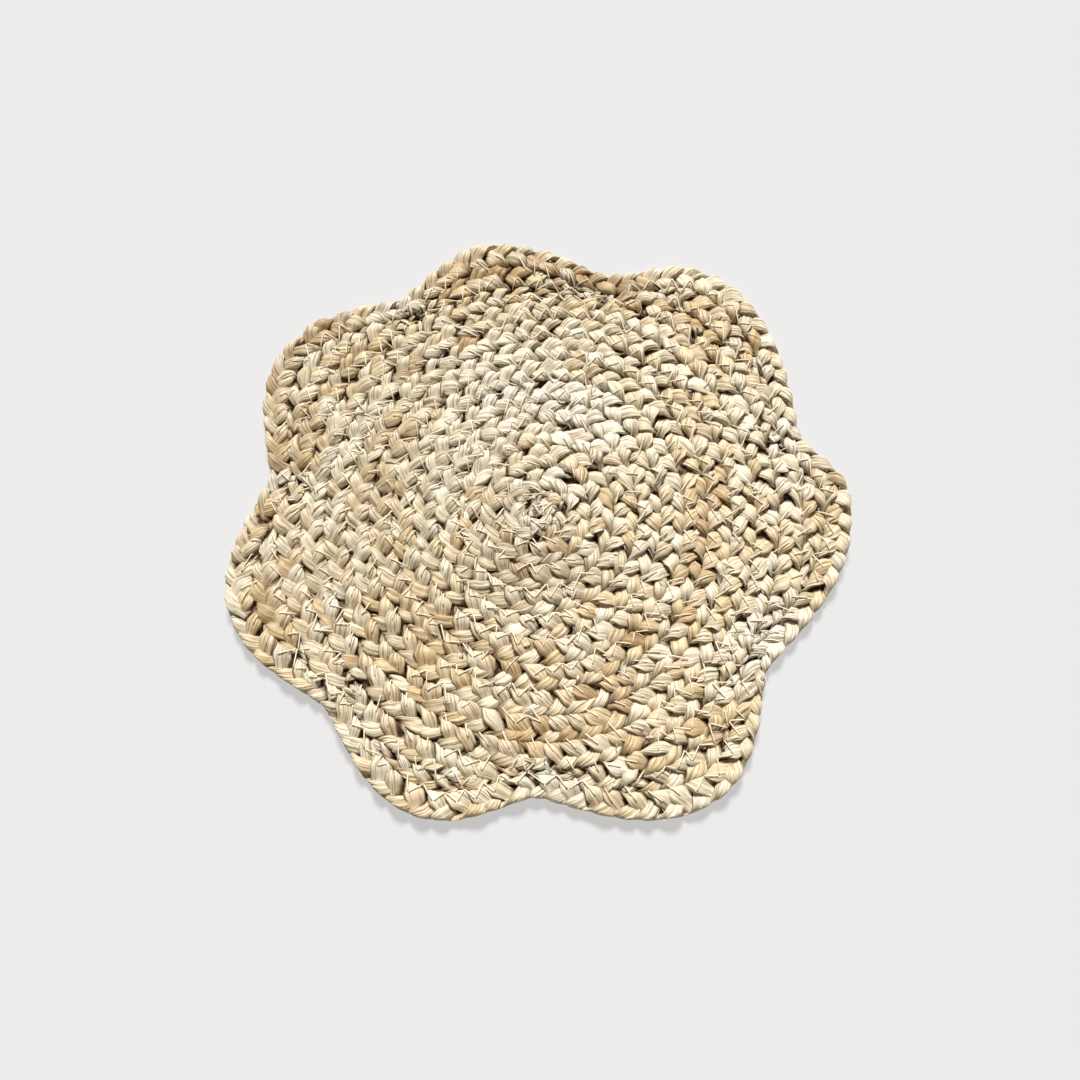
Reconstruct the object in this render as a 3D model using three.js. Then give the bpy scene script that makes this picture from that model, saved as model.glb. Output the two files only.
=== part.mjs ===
// A flower-shaped table mat of plaited leaf, lying flat.
// One long plait is wound into a disc, a short folded plait fills each petal, and one more plait
// runs round the scalloped edge. Millimetres, +Z up, with the underside on z = 0.
// Each plait is a flat-bottomed rib with a rounded top: its strands are not modelled.
import * as THREE from "three";

// Driving sizes of the plait
const PLAIT_PITCH = 14.4; // from one round of the disc to the next
const PLAIT_HEIGHT = 8; // from the underside to the crest of a round
const GROOVE_HEIGHT = 5; // between two rounds of one plait
const EDGE_HEIGHT = 3; // of the upright side of a plait, below its rounded top
const SHOULDER_RISE = 0.8; // how far up the rounded top is, halfway to the crest
const RIM_WIDTH = 16; // of the edge plait at a petal's tip
const RIM_NOTCH_WIDTH = 13; // of the edge plait where it is squeezed into a notch
const SECOND_ROW_LEAST = 0.25; // share of a petal plait's width that its outer row keeps
const GAP = 0.3; // between two pieces that touch

// The disc: its outer end starts at one notch, and it winds inwards as the angle grows
const DISC_RADIUS = 157.5;
const DISC_START = 74.35; // degrees, where two petal plaits meet in a notch
const DISC_ROUNDS = 10.5;
const END_TAPER = 36; // degrees, over which the outer end of the plait widens
const END_WIDTH = 4; // of the tapered outer end
const HUB_OFFSET = 3; // from the spiral's centre to the middle of its inner end

// The rounds aren't circles. Each row is a wave: how many times it goes round, its share of the
// radius, and the angle of its first crest, in degrees.
const DISC_WAVES = [
  { times: 1, share: 0.033, crest: -9 },
  { times: 2, share: 0.032, crest: 79 },
  { times: 3, share: 0.009, crest: 57 },
];

// The petals, anticlockwise. Each row has the angle and radius of the petal's tip, and of the
// notch that follows it, in degrees and millimetres from the spiral's centre.
const PETALS = [
  { tip: 54, tipRadius: 199, notch: 75, notchRadius: 169 },
  { tip: 102, tipRadius: 189, notch: 121, notchRadius: 171 },
  { tip: 146, tipRadius: 197, notch: 173, notchRadius: 168 },
  { tip: 199, tipRadius: 195, notch: 224, notchRadius: 173 },
  { tip: 248, tipRadius: 194, notch: 269, notchRadius: 171 },
  { tip: 299, tipRadius: 199, notch: 324, notchRadius: 165 },
  { tip: 362, tipRadius: 190, notch: 377, notchRadius: 170 },
];
const NOTCH_SHARPNESS = 0.74; // 1 is an even wave; less makes broad petals and narrow notches

// How finely the shapes are divided
const STEPS_PER_ROUND = 60;
const STEPS_PER_PETAL = 18;
const NOTCH_STEP = 0.03; // a petal plait ends this share of a step from the notch

const STRAW = 0xdcc9a0;
const HUSK = 0xcdb483;

const { degToRad, euclideanModulo, lerp, smoothstep } = THREE.MathUtils;

const polar = (radius, degrees) =>
  new THREE.Vector2(radius * Math.cos(degToRad(degrees)), radius * Math.sin(degToRad(degrees)));

// ---- outlines, about the spiral's centre --------------------------------------------------

function discShape(degrees) {
  let factor = 1;
  for (const wave of DISC_WAVES) {
    factor += wave.share * Math.cos(degToRad(wave.times * (degrees - wave.crest)));
  }
  return factor;
}

// The outer edge of the wound plait, so many degrees along it from its outer end.
function windingRadius(along) {
  const even = DISC_RADIUS - (PLAIT_PITCH * along) / 360;
  const narrowing = (PLAIT_PITCH - END_WIDTH) * (1 - smoothstep(along, 0, END_TAPER));
  return (even - narrowing) * discShape(DISC_START + along);
}

// The edge of the whole disc at an angle, on the straight side between two of its corners.
function discEdge(degrees) {
  const step = 360 / STEPS_PER_ROUND;
  const along = Math.floor(euclideanModulo(degrees - DISC_START, 360) / step) * step;
  const corner = polar(windingRadius(along), DISC_START + along);
  const side = polar(windingRadius(along + step), DISC_START + along + step).sub(corner);
  return corner.cross(side) / polar(1, degrees).cross(side);
}

// How far a point of a petal's edge has swollen from the notch, 0, to the tip, 1.
function petalSwell(degrees, notch, tip) {
  const way = (degrees - notch) / (tip - notch);
  return Math.pow((1 - Math.cos(Math.PI * way)) / 2, NOTCH_SHARPNESS);
}

// Stations along one petal's edge, from the notch before it to just short of the notch after it.
function petalStations(petal, before) {
  const start = before.notch > petal.tip ? before.notch - 360 : before.notch;
  const stations = [];
  for (let step = 0; step < STEPS_PER_PETAL; step += 1) {
    const degrees = lerp(start, petal.notch, step / STEPS_PER_PETAL);
    const rising = degrees < petal.tip;
    const notchRadius = rising ? before.notchRadius : petal.notchRadius;
    const swell = petalSwell(degrees, rising ? start : petal.notch, petal.tip);
    stations.push({
      edge: polar(lerp(notchRadius, petal.tipRadius, swell), degrees),
      width: lerp(RIM_NOTCH_WIDTH, RIM_WIDTH, swell),
    });
  }
  return stations;
}

// Stations round the whole edge, each with the direction that points squarely inwards.
function edgeStations() {
  const stations = PETALS.flatMap((petal, index) =>
    petalStations(petal, PETALS[(index + PETALS.length - 1) % PETALS.length]),
  );
  const count = stations.length;
  stations.forEach((station, i) => {
    const ahead = stations[(i + 1) % count].edge;
    const behind = stations[(i + count - 1) % count].edge;
    const along = ahead.clone().sub(behind).normalize();
    station.inward = new THREE.Vector2(-along.y, along.x);
  });
  return stations;
}

const insideOf = (station, distance) =>
  station.edge.clone().addScaledVector(station.inward, distance);

// ---- solids -------------------------------------------------------------------------------

// Points and faces, gathered into one geometry.
class Faces {
  constructor() {
    this.points = [];
    this.indices = [];
  }

  add(point, height) {
    this.points.push(point.x, point.y, height);
    return this.points.length / 3 - 1;
  }

  placeOf(index) {
    return new THREE.Vector2(this.points[3 * index], this.points[3 * index + 1]);
  }

  triangle(a, b, c) {
    this.indices.push(a, b, c);
  }

  quad(a, b, c, d) {
    this.triangle(a, b, c);
    this.triangle(a, c, d);
  }

  geometry() {
    const geometry = new THREE.BufferGeometry();
    geometry.setAttribute("position", new THREE.Float32BufferAttribute(this.points, 3));
    geometry.setIndex(this.indices);
    geometry.computeVertexNormals();
    return geometry;
  }
}

// A plait's rounded top between two side heights, as shares of its width and its heights there.
// A narrow plait is also a low one.
function crest(width, firstSide, lastSide) {
  const fullness = Math.min(1, width / PLAIT_PITCH);
  const lowest = Math.min(firstSide, lastSide);
  const top = lerp(lowest, PLAIT_HEIGHT, fullness);
  return [
    { share: 0, height: firstSide },
    { share: 0.25, height: lerp(firstSide, top, SHOULDER_RISE) },
    { share: 0.5, height: top },
    { share: 0.75, height: lerp(lastSide, top, SHOULDER_RISE) },
    { share: 1, height: lastSide },
  ];
}

// A flat-bottomed strip through sections, each a list of { at, height } across its top from its
// outer edge to its inner one, going anticlockwise. It is a ring if closed, or has two end walls.
function stripGeometry(sections, closed) {
  const faces = new Faces();
  const rows = sections.map((section) => {
    const top = section.map((p) => faces.add(p.at, p.height));
    const inner = faces.add(section[section.length - 1].at, 0);
    const outer = faces.add(section[0].at, 0);
    return [...top, inner, outer];
  });
  const around = rows[0].length;
  const spans = closed ? rows.length : rows.length - 1;
  for (let i = 0; i < spans; i += 1) {
    const here = rows[i];
    const next = rows[(i + 1) % rows.length];
    for (let j = 0; j < around; j += 1) {
      const k = (j + 1) % around;
      faces.quad(here[j], next[j], next[k], here[k]);
    }
  }
  if (!closed) {
    const first = rows[0];
    const last = rows[rows.length - 1];
    const outer = around - 1;
    for (let j = 0; j < outer - 1; j += 1) {
      faces.triangle(first[outer], first[j], first[j + 1]);
      faces.triangle(last[outer], last[j + 1], last[j]);
    }
  }
  return faces.geometry();
}

// The wound plait. Its top is one strip that winds inwards, each round sharing its groove with
// the next, and its middle closes on a hub.
function coilGeometry() {
  const faces = new Faces();
  const total = Math.round(DISC_ROUNDS * STEPS_PER_ROUND);
  const stripEnd = total - STEPS_PER_ROUND;
  const degreesAlong = (i) => (i * 360) / STEPS_PER_ROUND;
  const place = (i, inwards) =>
    polar(windingRadius(degreesAlong(i)) - inwards, DISC_START + degreesAlong(i));

  const grooves = [];
  for (let i = 0; i <= total; i += 1) {
    const height = i < STEPS_PER_ROUND ? EDGE_HEIGHT : GROOVE_HEIGHT;
    grooves.push(faces.add(place(i, 0), height));
  }
  const rows = [];
  for (let i = 0; i <= stripEnd; i += 1) {
    const inner = i + STEPS_PER_ROUND;
    const width = windingRadius(degreesAlong(i)) - windingRadius(degreesAlong(inner));
    const outerSide = i < STEPS_PER_ROUND ? EDGE_HEIGHT : GROOVE_HEIGHT;
    const between = crest(width, outerSide, GROOVE_HEIGHT)
      .slice(1, -1)
      .map((p) => faces.add(place(i, width * p.share), p.height));
    rows.push([grooves[i], ...between, grooves[inner]]);
  }
  for (let i = 0; i < stripEnd; i += 1) {
    for (let j = 0; j < rows[i].length - 1; j += 1) {
      faces.quad(rows[i][j], rows[i + 1][j], rows[i + 1][j + 1], rows[i][j + 1]);
    }
  }

  const innerEnd = rows[stripEnd];
  const hubAngle = DISC_START + degreesAlong(stripEnd) + 90;
  const hub = faces.add(polar(HUB_OFFSET, hubAngle), PLAIT_HEIGHT);
  for (let i = stripEnd; i < total; i += 1) {
    faces.triangle(hub, grooves[i], grooves[i + 1]);
  }
  for (let j = 0; j < innerEnd.length - 1; j += 1) {
    faces.triangle(hub, innerEnd[j + 1], innerEnd[j]);
  }

  // The wall goes once round the disc and back across the plait's outer end
  const outerEnd = rows[0].slice(1, -1).reverse();
  const wallTop = [...grooves.slice(0, STEPS_PER_ROUND + 1), ...outerEnd];
  const wallFoot = wallTop.map((index) => faces.add(faces.placeOf(index), 0));
  const centre = faces.add(new THREE.Vector2(0, 0), 0);
  for (let i = 0; i < wallTop.length; i += 1) {
    const k = (i + 1) % wallTop.length;
    faces.quad(wallFoot[i], wallFoot[k], wallTop[k], wallTop[i]);
    faces.triangle(centre, wallFoot[k], wallFoot[i]);
  }
  return faces.geometry();
}

// The plait round the edge, a closed ring.
function rimGeometry(stations) {
  const sections = stations.map((station) =>
    crest(station.width, EDGE_HEIGHT, EDGE_HEIGHT).map((p) => ({
      at: insideOf(station, station.width * p.share),
      height: p.height,
    })),
  );
  return stripGeometry(sections, true);
}

// A place between two stations, just inside the edge plait, by a count of stations.
function besideRim(stations, position) {
  const behind = stations[Math.floor(position) % stations.length];
  const ahead = stations[(Math.floor(position) + 1) % stations.length];
  const from = insideOf(behind, behind.width + GAP);
  return from.lerp(insideOf(ahead, ahead.width + GAP), position % 1);
}

// One petal's plait: a row against the disc and, where there is room, a second row outside it.
function petalFillGeometry(stations, index) {
  const sections = [];
  for (let step = 0; step <= STEPS_PER_PETAL; step += 1) {
    const clear = Math.min(Math.max(step, NOTCH_STEP), STEPS_PER_PETAL - NOTCH_STEP);
    const outer = besideRim(stations, index * STEPS_PER_PETAL + clear);
    const degrees = THREE.MathUtils.radToDeg(outer.angle());
    const width = outer.length() - discEdge(degrees) - GAP;
    const secondWidth = Math.max(width - PLAIT_PITCH, width * SECOND_ROW_LEAST);
    const firstWidth = width - secondWidth;
    const second = crest(secondWidth, EDGE_HEIGHT, GROOVE_HEIGHT).map((p) => ({
      at: polar(outer.length() - secondWidth * p.share, degrees),
      height: p.height,
    }));
    const first = crest(firstWidth, GROOVE_HEIGHT, EDGE_HEIGHT).map((p) => ({
      at: polar(outer.length() - secondWidth - firstWidth * p.share, degrees),
      height: p.height,
    }));
    sections.push([...second, ...first.slice(1)]);
  }
  return stripGeometry(sections, false);
}

// ---- the mat ------------------------------------------------------------------------------

const stations = edgeStations();
const straw = new THREE.MeshStandardMaterial({ color: STRAW, roughness: 0.6, metalness: 0 });
const husk = new THREE.MeshStandardMaterial({ color: HUSK, roughness: 0.7, metalness: 0 });

const mat = new THREE.Group();

function addPiece(name, geometry, material) {
  const piece = new THREE.Mesh(geometry, material);
  piece.name = name;
  mat.add(piece);
}

addPiece("coil", coilGeometry(), straw);
addPiece("rim", rimGeometry(stations), straw);
PETALS.forEach((petal, index) => {
  addPiece(`petal_fill_${index + 1}`, petalFillGeometry(stations, index), husk);
});

// The origin is the middle of the underside, so everything moves over by the outline's middle
const middle = new THREE.Box2()
  .setFromPoints(stations.map((station) => station.edge))
  .getCenter(new THREE.Vector2());
mat.children.forEach((piece) => piece.position.set(-middle.x, -middle.y, 0));

export default mat;
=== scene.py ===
"""A flower-shaped table mat of plaited leaf, lying on a pale floor and seen from above.

One long three-strand plait is wound into a disc, short rows of the same plait fill the petals, and
one more plait runs round the scalloped edge. Thread zigzags along every groove between two rows.
Lengths are millimetres about the spiral's centre until a mesh is made, and angles are degrees.
"""
import math

import bpy
import numpy as np
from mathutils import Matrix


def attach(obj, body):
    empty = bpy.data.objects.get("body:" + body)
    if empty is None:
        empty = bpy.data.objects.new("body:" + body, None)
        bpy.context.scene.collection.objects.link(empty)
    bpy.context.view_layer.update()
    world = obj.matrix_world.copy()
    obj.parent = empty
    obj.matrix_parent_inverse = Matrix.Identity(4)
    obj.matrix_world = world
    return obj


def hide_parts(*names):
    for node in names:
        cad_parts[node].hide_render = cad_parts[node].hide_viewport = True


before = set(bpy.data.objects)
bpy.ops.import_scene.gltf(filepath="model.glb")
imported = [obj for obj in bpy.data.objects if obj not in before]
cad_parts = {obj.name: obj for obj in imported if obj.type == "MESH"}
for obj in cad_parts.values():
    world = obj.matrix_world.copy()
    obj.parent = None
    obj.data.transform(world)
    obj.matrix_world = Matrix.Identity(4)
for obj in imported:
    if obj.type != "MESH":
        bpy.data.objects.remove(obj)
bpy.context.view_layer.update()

MM = 0.001
TURN = 2 * math.pi
THIN_LOWEST = 0.1  # of thread and loose leaf above the table

# ---- small sums ----


def smooth(x):
    """From 0 to 1 without corners, as x goes from 0 to 1."""
    x = np.clip(x, 0.0, 1.0)
    return x * x * (3 - 2 * x)


def blended(first, second, share):
    return first * (1 - share) + second * share


def between(values, places):
    """Rows of values, or single ones, at places between whole numbers."""
    index = np.floor(places).astype(int)
    share = smooth(places - index).reshape(-1, *[1] * (values.ndim - 1))
    return blended(values[index], values[index + 1], share)


def normalised(vectors):
    return vectors / np.linalg.norm(vectors, axis=-1, keepdims=True)


def polar(radius, degrees):
    angle = np.radians(degrees)
    return np.stack([radius * np.cos(angle), radius * np.sin(angle)], axis=-1)


def degrees_of(points):
    return np.degrees(np.arctan2(points[:, 1], points[:, 0]))


def right_of(along):
    """The way to the right in plan, which is outwards on a line that runs anticlockwise."""
    return np.stack([along[:, 1], -along[:, 0]], axis=-1)


def distances_along(points):
    steps = np.linalg.norm(np.diff(points, axis=0), axis=1)
    return np.concatenate([[0], np.cumsum(steps)])


def interpolated(places, known, vectors):
    """Vectors in plan at places along a line, from those at known places."""
    return np.stack([np.interp(places, known, vectors[:, i]) for i in (0, 1)], axis=-1)


def across_and_up(line, roll=0.0):
    """The ways across a line and up from it, rolled about it by radians."""
    way = normalised(np.gradient(line, axis=0))
    side = normalised(np.cross(way, [0.0, 0.0, 1.0]))
    up = np.cross(side, way)
    roll = np.reshape(roll, (-1, 1))
    return np.cos(roll) * side - np.sin(roll) * up, np.cos(roll) * up + np.sin(roll) * side


def angles_round(sides):
    return TURN * np.arange(sides) / sides


def oval(wide, thick, width, thickness, sides):
    """The corners of a flattened tube's sections, as ways from the middle of each."""
    angle = angles_round(sides)
    across = wide[:, None, :] * (width / 2 * np.cos(angle))[:, None]
    return across + thick[:, None, :] * (thickness / 2 * np.sin(angle))[:, None]


def above_table(rings):
    rings[..., 2] = np.maximum(rings[..., 2], THIN_LOWEST)
    return rings


# ---- the mat's plan, with the same sizes as its solids ----

PLAIT_PITCH = 14.4
PLAIT_HEIGHT = 8.0
RIM_WIDTH = 16.0
RIM_NOTCH_WIDTH = 13.0
GAP = 0.3

DISC_RADIUS = 157.5
DISC_START = 74.35
DISC_ROUNDS = 10.5
END_TAPER = 36.0
END_WIDTH = 4.0

# How often each wave goes round the disc, its share of the radius, and where it first crests
DISC_WAVES = [
    dict(times=1, share=0.033, crest=-9),
    dict(times=2, share=0.032, crest=79),
    dict(times=3, share=0.009, crest=57),
]

# Anticlockwise: each petal's tip, and the notch that follows it
PETALS = [
    dict(tip=54, tip_radius=199, notch=75, notch_radius=169),
    dict(tip=102, tip_radius=189, notch=121, notch_radius=171),
    dict(tip=146, tip_radius=197, notch=173, notch_radius=168),
    dict(tip=199, tip_radius=195, notch=224, notch_radius=173),
    dict(tip=248, tip_radius=194, notch=269, notch_radius=171),
    dict(tip=299, tip_radius=199, notch=324, notch_radius=165),
    dict(tip=362, tip_radius=190, notch=377, notch_radius=170),
]
NOTCH_SHARPNESS = 0.74
STEPS_PER_PETAL = 160


def disc_shape(degrees):
    factor = np.ones_like(degrees)
    for wave in DISC_WAVES:
        angle = np.radians(wave["times"] * (degrees - wave["crest"]))
        factor = factor + wave["share"] * np.cos(angle)
    return factor


def winding_radius(along):
    """The outer edge of the wound plait, so many degrees along it from its outer end."""
    even = DISC_RADIUS - PLAIT_PITCH * along / 360
    narrowing = (PLAIT_PITCH - END_WIDTH) * (1 - smooth(along / END_TAPER))
    return (even - narrowing) * disc_shape(DISC_START + along)


def disc_edge(degrees):
    return winding_radius(np.mod(degrees - DISC_START, 360))


def petal_start(index):
    """The angle and radius of the notch before a petal."""
    before = PETALS[index - 1]
    turn = 360 if before["notch"] > PETALS[index]["tip"] else 0
    return before["notch"] - turn, before["notch_radius"]


def petal_edge(index, share):
    """The outer edge of a petal and the edge plait's width, at shares of the way along it."""
    petal = PETALS[index]
    start, start_radius = petal_start(index)
    degrees = start + (petal["notch"] - start) * share
    rising = degrees < petal["tip"]
    notch = np.where(rising, start, petal["notch"])
    notch_radius = np.where(rising, start_radius, petal["notch_radius"])
    way = (degrees - notch) / (petal["tip"] - notch)
    swell = ((1 - np.cos(math.pi * way)) / 2) ** NOTCH_SHARPNESS
    radius = notch_radius + (petal["tip_radius"] - notch_radius) * swell
    width = RIM_NOTCH_WIDTH + (RIM_WIDTH - RIM_NOTCH_WIDTH) * swell
    return polar(radius, degrees), width


def whole_edge(neighbours=3):
    """Points round the edge, the edge plait's width there and the way outwards."""
    share = np.arange(STEPS_PER_PETAL) / STEPS_PER_PETAL
    parts = [petal_edge(index, share) for index in range(len(PETALS))]
    points, widths = (np.concatenate(column) for column in zip(*parts))
    ahead = np.roll(points, -neighbours, axis=0)
    along = normalised(ahead - np.roll(points, neighbours, axis=0))
    return points, widths, right_of(along)


EDGE_POINTS, EDGE_WIDTHS, EDGE_OUTWARD = whole_edge()
MIDDLE = (EDGE_POINTS.min(axis=0) + EDGE_POINTS.max(axis=0)) / 2


def at_notches(inwards, **row):
    """The same row of a table for every notch, at a point so far inside it."""
    places = [(petal["notch"], petal["notch_radius"] - inwards) for petal in PETALS]
    return [dict(angle=angle, radius=radius, **row) for angle, radius in places]


# Places where the colour differs: at an angle and a radius, reaching so far along that ring and across
# it.
# Tint is towards tan, pale is towards white, and shade is towards a dull brown. Most are the leaf's
# own colour; the lighter zones just above the centre are painted light, and the darker one just below
# it is painted shade.
ZONES = [
    dict(at=(142, 150), reach=(42, 12), tint=0.14, shade=0.1),
    dict(at=(140, 188), reach=(42, 9), tint=0.12, shade=0.45),
    dict(at=(98, 168), reach=(40, 13), tint=0.3, shade=0.35),
    dict(at=(74, 163), reach=(26, 9), tint=0.2, shade=0.4),
    dict(at=(50, 172), reach=(34, 14), tint=0.2, shade=0.15),
    dict(at=(168, 157), reach=(24, 12), tint=0.24, shade=0.05),
    dict(at=(180, 99), reach=(44, 8), tint=0.16),
    dict(at=(145, 96), reach=(30, 8), tint=0.12),
    dict(at=(165, 128), reach=(34, 13), tint=-0.12, pale=0.1),
    # Painted light: the two lighter zones just above the centre
    dict(at=(104, 80), reach=(40, 26), tint=-0.32, pale=0.1, shade=-0.2),
    dict(at=(66, 72), reach=(30, 20), tint=-0.32, pale=0.25, shade=-0.2),
    dict(at=(151, 56), reach=(28, 18), tint=-0.28, pale=0.05),
    dict(at=(131, 8), reach=(16, 16), tint=-0.1, pale=0.45, shade=0.12),
    # Painted shade: the darker zone just below the centre
    dict(at=(279, 36), reach=(38, 24), tint=0.06, pale=0.1, shade=0.55),
    dict(at=(225, 115), reach=(60, 30), tint=0.1, shade=0.06),
    dict(at=(285, 122), reach=(45, 12), tint=0.1, shade=0.05),
    dict(at=(303, 96), reach=(9, 9), tint=0.4, shade=0.1),
    dict(at=(290, 106), reach=(12, 8), tint=0.3, shade=0.1),
    dict(at=(247, 98), reach=(34, 9), tint=0.12, shade=0.08),
    dict(at=(2, 172), reach=(30, 16), tint=0.16),
    dict(at=(18, 105), reach=(40, 12), tint=0.16),
    dict(at=(354, 100), reach=(30, 14), tint=0.12),
    dict(at=(31, 137), reach=(30, 9), tint=-0.1, pale=0.15),
    dict(at=(328, 152), reach=(26, 14), tint=-0.25, pale=0.4),
    dict(at=(15, 157), reach=(30, 10), tint=-0.2, pale=0.5, shade=0.05),
    dict(at=(253, 184), reach=(36, 11), tint=0.05, pale=-0.2, shade=-0.1),
    dict(at=(206, 170), reach=(30, 14), tint=0.12, pale=-0.1),
    dict(at=(268, 138), reach=(52, 8), tint=0.16, shade=0.05),
    dict(at=(302, 168), reach=(30, 12), tint=0.18),
    dict(at=(271, 163), reach=(24, 10), tint=-0.2, pale=0.35),
    dict(at=(124, 168), reach=(16, 10), tint=-0.15, pale=0.5, shade=0.15),
    dict(at=(225, 165), reach=(20, 10), tint=-0.1, pale=0.35, shade=0.05),
    dict(at=(174, 166), reach=(12, 9), tint=-0.1, pale=0.3, shade=0.05),
]


def zone_amount(name, points):
    """How much of one zone value there is at points in plan."""
    total = np.zeros(len(points))
    degrees = degrees_of(points)
    radius = np.linalg.norm(points, axis=1)
    for zone in ZONES:
        zone_angle, zone_radius = zone["at"]
        reach_along, reach_across = zone["reach"]
        turn = np.mod(degrees - zone_angle + 180, 360) - 180
        along = np.radians(turn) * zone_radius / reach_along
        across = (radius - zone_radius) / reach_across
        total = total + zone.get(name, 0.0) * np.exp(-(along**2) - across**2)
    return total


# Where the plait is most crumpled: in the middle of the spiral and in the notches
CRUMPLED = [
    dict(angle=0, radius=0, reach=19, amount=1.0),
    *at_notches(inwards=12, reach=15, amount=0.3),
]


def crumpled(points):
    total = np.zeros(len(points))
    for place in CRUMPLED:
        away = np.linalg.norm(points - polar(place["radius"], place["angle"]), axis=1)
        total = total + place["amount"] * np.exp(-((away / place["reach"]) ** 2))
    return total


# ---- routes: a line through a plait's middle ----

ROUTE_STEP = 1.9  # between two sections of a strand
# A petal has a second row from this many plaits of room on
SECOND_ROW = dict(start=1.1, grows_over=0.3, least=0.12, widest_at_least=0.4)


class Route:
    """The middle line of a plait, evenly divided, with its width and the way outwards."""

    def __init__(self, points, widths, closed=False):
        if closed:
            points = np.vstack([points, points[:1]])
            widths = np.append(widths, widths[0])
        travelled = distances_along(points)
        self.length = travelled[-1]
        self.closed = closed
        count = int(self.length / ROUTE_STEP)
        self.distance = np.linspace(0, self.length, count + 1)
        self.points = interpolated(self.distance, travelled, points)
        self.widths = np.interp(self.distance, travelled, widths)
        if closed:
            once = self.points[:-1]
            along = np.roll(once, -1, axis=0) - np.roll(once, 1, axis=0)
            along = np.vstack([along, along[:1]])
        else:
            along = np.gradient(self.points, axis=0)
        self.along = normalised(along)
        self.outward = right_of(self.along)

    def at(self, distance):
        """The point, the way along and the way outwards at some distances."""
        along = normalised(interpolated(distance, self.distance, self.along))
        return interpolated(distance, self.distance, self.points), along, right_of(along)


def coil_route():
    """The wound plait, from its outer end to its middle."""
    along = np.arange(0, 360 * DISC_ROUNDS, 1.0)
    outer = winding_radius(along)
    inner = np.maximum(winding_radius(along + 360), 0.0)
    return Route(polar((outer + inner) / 2, DISC_START + along), outer - inner)


def rim_route():
    points = EDGE_POINTS - EDGE_OUTWARD * EDGE_WIDTHS[:, None] / 2
    return Route(points, EDGE_WIDTHS, closed=True)


def petal_routes(index, steps=200, least_width=1.0):
    """The rows inside one petal: one beside the disc, and one outside it where there is room."""
    share = np.linspace(0.0, 1.0, steps)
    edge, rim = petal_edge(index, share)
    outward = right_of(normalised(np.gradient(edge, axis=0)))
    room_edge = edge - outward * (rim + GAP)[:, None]
    degrees = degrees_of(room_edge)
    inner = disc_edge(degrees) + GAP
    width = np.maximum(np.linalg.norm(room_edge, axis=1) - inner, least_width)
    growth = smooth((width / PLAIT_PITCH - SECOND_ROW["start"]) / SECOND_ROW["grows_over"])
    second = (width - PLAIT_PITCH) * growth
    first = width - second
    routes = [Route(polar(inner + first / 2, degrees), first)]
    wide = second > PLAIT_PITCH * SECOND_ROW["least"]
    if second.max() > PLAIT_PITCH * SECOND_ROW["widest_at_least"]:
        middle = inner + first + second / 2
        routes.append(Route(polar(middle, degrees)[wide], second[wide]))
    return routes


# ---- seeded unevenness ----

INNER_LUMP = 7 / 8 * TURN  # the phase at which a strand lies on top, on the row's inner side
OUTER_LUMP = 3 / 8 * TURN  # and on its outer side
# The share of the way from one lump to the next at which a strand is hidden, and for how much
HIDDEN = dict(start=0.36, share=0.28)


def per_lump(rng, phase):
    """One number for each lump that a strand shows, changing where the strand is hidden."""
    place = (phase - OUTER_LUMP) / math.pi
    base = np.floor(place)
    first = int(base.min())
    values = rng.normal(size=int(base.max()) - first + 2)
    index = (base - first).astype(int)
    share = smooth((place - base - HIDDEN["start"]) / HIDDEN["share"])
    return blended(values[index], values[index + 1], share)


def slowly(rng, distance, spacing):
    values = rng.normal(size=int(distance.max() / spacing) + 3)
    return between(values, distance / spacing)


def bumps_over(rng, distance, sides, spacing=2.8, lines=11):
    """Small bumps over a strand's whole surface, mostly from -1 to 1."""
    values = rng.normal(size=(int(distance.max() / spacing) + 3, lines))
    lines_along = between(values, distance / spacing).T
    lines_along = np.vstack([lines_along, lines_along[:1]])
    return between(lines_along, np.arange(sides) * lines / sides).T


# ---- strands ----

STRAND_PERIOD = 39.0  # along the plait, for a strand to cross it and come back
STRANDS = 3
# Each group's first seed, and how much further those of its next petal and its next row are
SEEDS = dict(coil=100, rim=200, petals=300, next_petal=40, next_row=10, thread=7, loose_leaf=11)
STRAND_SIDES = 32
# Half a strand's section in the four stages of each half turn of its path: on its way down, under
# another strand, at the plait's edge, and over another strand
HALF_WIDTHS = np.array([4.5, 6.5, 2.8, 5.3])
HALF_HEIGHTS = np.array([1.8, 1.9, 1.75, 2.85])
LEAF_WIDTH = 13.0  # of a full row's strand pressed flat: half its girth
FLAT_TOP = 0.92  # 1 is an oval section, and less makes it flatter above and below
SWING = 5.55  # of a strand's middle to each side
FREE_SWING = 1.1  # how many times as far it goes in the edge plait
CROSSING = 0.9  # how far outside a row's middle strands cross, where it is most lopsided
INNER_SIZE = 0.1  # how much wider the lumps of a row's inner side are there
LOPSIDED_TOWARDS = 212  # degrees
LOPSIDED_LEAST = 0.3
RISE = 2.15
FOLD_REACH = 0.9  # radians of the path, over which a strand turns over at the plait's edge
LINGER = 0.09  # how much longer a strand runs along the plait's edge than a plain wave does
ROW_TILT = 6.0  # degrees, by which the outer side of a row lies lower
EDGE_TILT = 1.8  # the same of the edge plait
TIGHTER = 0.36  # how much shorter a strand's period is where the plait is most crumpled
SMALLER = 0.22  # and how much narrower the strand is
CRUMPLE = 0.17  # of the small bumps all over a strand
MORE_CRUMPLE = 4.0  # times as much is added where the plait is most crumpled

# How far a strand's path wanders, and how much its lumps differ
WANDER = dict(amount=0.3, spacing=0.4 * STRAND_PERIOD)
UNEVEN = dict(width=0.14, height=0.13, swing=0.07, level=0.3, roll=0.2)
LUMP_SIZES = (0.7, 1.35)  # least and most share of the usual size
ROW_WIDTHS = (0.4, 1.15)  # how far a strand's width follows its row's, as shares of a full row
ROW_HEIGHTS = (0.5, 1.1)  # and how far its height does
FULL_RELIEF = 2.0  # half-height from which a strand has its bumps and folds in full
SIDE_RELIEF = 0.5  # how much of them goes sideways

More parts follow.
